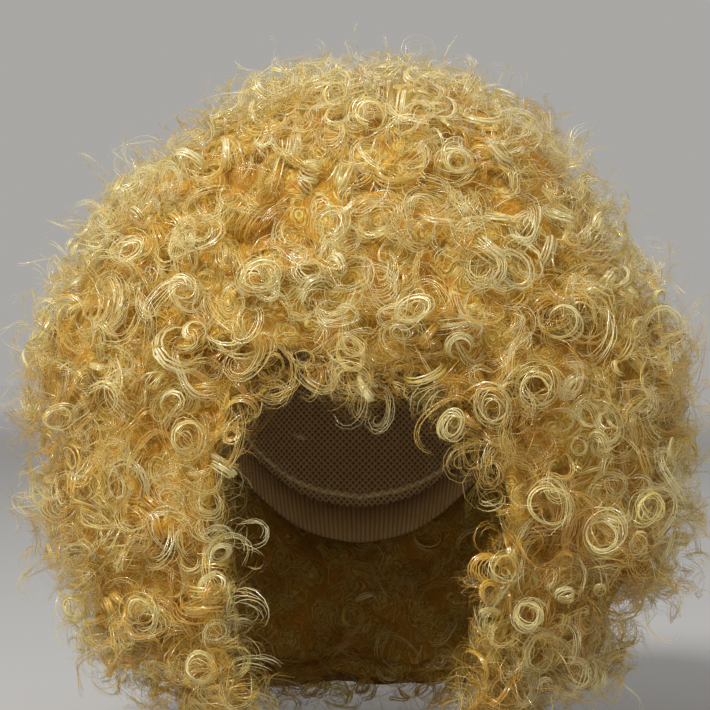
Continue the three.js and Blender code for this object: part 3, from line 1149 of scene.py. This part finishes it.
class WIG_OT_cap_net(bpy.types.Operator):
    """Make the net of the cap"""

    bl_idname = "wig.cap_net"
    bl_label = "Cap net"

    def execute(self, context):
        mesh = smooth_copy("cap_net")
        cloth_chart(mesh)
        add_piece("net", mesh, net_material(context.scene.wig_cap), "net", "cap_net")
        return {"FINISHED"}


class WIG_OT_edge_band(bpy.types.Operator):
    """Make the elastic band round the cap's edge"""

    bl_idname = "wig.edge_band"
    bl_label = "Edge band"

    def execute(self, context):
        mesh = smooth_copy("edge_band")
        cloth_chart(mesh)
        add_piece("band", mesh, elastic_material(context.scene.wig_cap), "elastic", "edge_band")
        return {"FINISHED"}


class WIG_OT_sewn_rows(bpy.types.Operator):
    """Make the stitched rows on the inside of the net"""

    bl_idname = "wig.sewn_rows"
    bl_label = "Sewn rows"

    def execute(self, context):
        scene = context.scene
        mesh = make_sewn_rows(scene.wig_cap)
        add_piece("sewn_rows", mesh, sewn_row_material(scene.wig_cap, scene.wig_hair), "net")
        return {"FINISHED"}


class WIG_OT_under_hair(bpy.types.Operator):
    """Make the close hair under the ringlets"""

    bl_idname = "wig.under_hair"
    bl_label = "Under hair"

    def execute(self, context):
        hair = context.scene.wig_hair
        add_piece("under_hair", make_under_hair(hair), under_hair_material(hair), "hair")
        return {"FINISHED"}


class WIG_OT_ringlets(bpy.types.Operator):
    """Make the ringlets, frizz and loose strands of one section of the hair"""

    bl_idname = "wig.ringlets"
    bl_label = "Ringlets"

    section: StringProperty(
        name="Section", description="The section's node in the frame", default=HAIR_SECTIONS[0]
    )

    def execute(self, context):
        if self.section not in HAIR_SECTIONS:
            raise ValueError(f"the wig has no hair section named {self.section}")
        hair = context.scene.wig_hair
        rng = np.random.default_rng((hair.seed, HAIR_SECTIONS.index(self.section)))
        material = bpy.data.materials.get("golden_hair") or hair_material(hair)
        place = self.section.replace("hair_", "")
        ringlets, frizz = make_ringlets(self.section, hair, context.scene.wig_stage, rng)
        loose = make_loose_strands(self.section, hair, rng)
        layers = {"ringlets": ringlets, "frizz": frizz, "loose_strands": loose}
        for layer, batches in layers.items():
            mesh = ribbon_mesh(f"{place}_{layer}", batches)
            add_piece(mesh.name, mesh, material, "hair", self.section)
        return {"FINISHED"}


def set_up(thing, place):
    """Puts a light or the camera in its place, turned to the middle of the photograph."""
    thing.location = place
    thing.rotation_euler = (Vector(PHOTO_CENTRE) - thing.location).to_track_quat("-Z", "Y").to_euler()


def add_light(name, power, place, size, colour):
    """A round soft light that shines on the wig."""
    data = bpy.data.lights.new(name, "AREA")
    data.shape = "DISK"
    data.size = size
    data.energy = power
    data.color = colour
    set_up(add_object(name, data), place)


class WIG_OT_stage(bpy.types.Operator):
    """Make the floor, the lights and the camera"""

    bl_idname = "wig.stage"
    bl_label = "Stage"

    def execute(self, context):
        stage = context.scene.wig_stage
        self.add_floor(stage)
        self.add_lights(stage)
        self.add_camera(stage)
        context.scene.view_settings.view_transform = "Standard"
        return {"FINISHED"}

    @staticmethod
    def add_floor(stage):
        height = CAD_BOX[0].z - stage.floor_drop
        sides = ((-1, -1), (1, -1), (1, 1), (-1, 1))
        corners = [(x * FLOOR_HALF, y * FLOOR_HALF, height) for x, y in sides]
        mesh = bpy.data.meshes.new("floor")
        mesh.from_pydata(corners, [], [(0, 1, 2, 3)])
        mesh.materials.append(floor_material(stage))
        floor = add_object("floor", mesh)

    @staticmethod
    def add_lights(stage):
        world = bpy.data.worlds.new("studio")
        world.use_nodes = True
        background = world.node_tree.nodes["Background"]
        background.inputs["Color"].default_value = opaque(stage.sky_colour)
        background.inputs["Strength"].default_value = stage.sky_strength
        bpy.context.scene.world = world
        for name, light in LIGHTS.items():
            add_light(name, getattr(stage, f"{name}_power"), **light)

    @staticmethod
    def add_camera(stage):
        data = bpy.data.cameras.new("camera")
        data.sensor_width = 36.0
        data.lens = data.sensor_width * stage.camera_distance / (PHOTO_PIXELS * PIXEL)
        camera = add_object("camera", data)
        set_up(camera, camera_place(stage.camera_distance))
        bpy.context.scene.camera = camera


class WIG_PT_panel(bpy.types.Panel):
    """Lists the wig's pieces and settings"""

    bl_idname = "WIG_PT_panel"
    bl_label = "Curly wig"
    bl_space_type = "VIEW_3D"
    bl_region_type = "UI"
    bl_category = "Wig"

    def draw(self, context):
        layout = self.layout
        for operator in OPERATORS:
            layout.operator(operator.bl_idname)
        for name, group in SETTINGS.items():
            box = layout.box()
            for key in group.__annotations__:
                box.prop(getattr(context.scene, name), key)


SETTINGS = {"wig_hair": WigHairSettings, "wig_cap": WigCapSettings, "wig_stage": WigStageSettings}
OPERATORS = (
    WIG_OT_cap_net,
    WIG_OT_edge_band,
    WIG_OT_sewn_rows,
    WIG_OT_under_hair,
    WIG_OT_ringlets,
    WIG_OT_stage,
)
CLASSES = (*SETTINGS.values(), *OPERATORS, WIG_PT_panel)


def register():
    for made in CLASSES:
        bpy.utils.register_class(made)
    for name, group in SETTINGS.items():
        setattr(bpy.types.Scene, name, PointerProperty(type=group))


def unregister():
    for name in SETTINGS:
        delattr(bpy.types.Scene, name)
    for made in reversed(CLASSES):
        bpy.utils.unregister_class(made)


def main():
    register()
    bpy.ops.wig.stage()
    bpy.ops.wig.cap_net()
    bpy.ops.wig.edge_band()
    bpy.ops.wig.sewn_rows()
    bpy.ops.wig.under_hair()
    for section in HAIR_SECTIONS:
        bpy.ops.wig.ringlets(section=section)


if __name__ == "__main__":
    main()
